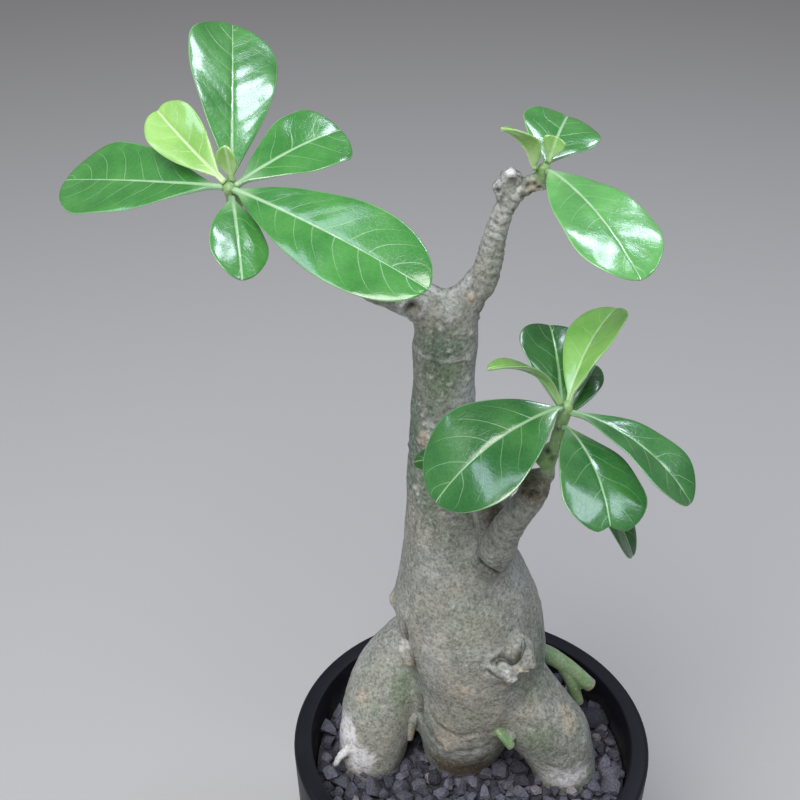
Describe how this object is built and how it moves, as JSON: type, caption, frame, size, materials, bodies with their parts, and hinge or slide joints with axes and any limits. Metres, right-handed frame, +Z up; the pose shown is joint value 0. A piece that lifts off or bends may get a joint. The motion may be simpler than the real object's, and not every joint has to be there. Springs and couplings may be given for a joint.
{
  "type": "potted desert rose",
  "caption": "Small potted desert rose with a swollen trunk on spread root legs, forked thin branches and rosettes of glossy leaves, in a round black pot topped with grit.",
  "frame": {"origin": "centre of the pot's underside", "axes": "+Z up along the pot's axis, -Y towards the front, +X to the right seen from the front"},
  "size_m": [0.1743, 0.1212, 0.3345],
  "materials": {
    "pot_black": "matt",
    "soil_brown": "rough",
    "gravel_grey": "rough",
    "bark": "satin",
    "leaf_green": "glossy",
    "young_green": "glossy"
  },
  "bodies": {
    "root": {"pot": "pot_black", "soil": "soil_brown", "gravel": "gravel_grey", "caudex": "bark", "leaf_left_1": "leaf_green", "leaf_left_2": "leaf_green", "leaf_left_3": "leaf_green", "leaf_left_4": "leaf_green", "leaf_left_5": "young_green", "leaf_left_6": "leaf_green", "leaf_left_7": "young_green", "leaf_top_1": "leaf_green", "leaf_top_2": "leaf_green", "leaf_top_3": "young_green", "leaf_top_4": "young_green", "leaf_side_1": "leaf_green", "leaf_side_2": "leaf_green", "leaf_side_3": "leaf_green", "leaf_side_4": "young_green", "leaf_side_5": "young_green", "leaf_side_6": "leaf_green", "leaf_side_7": "leaf_green", "leaf_side_8": "leaf_green", "leaf_side_9": "leaf_green"}
  },
  "joints": []
}
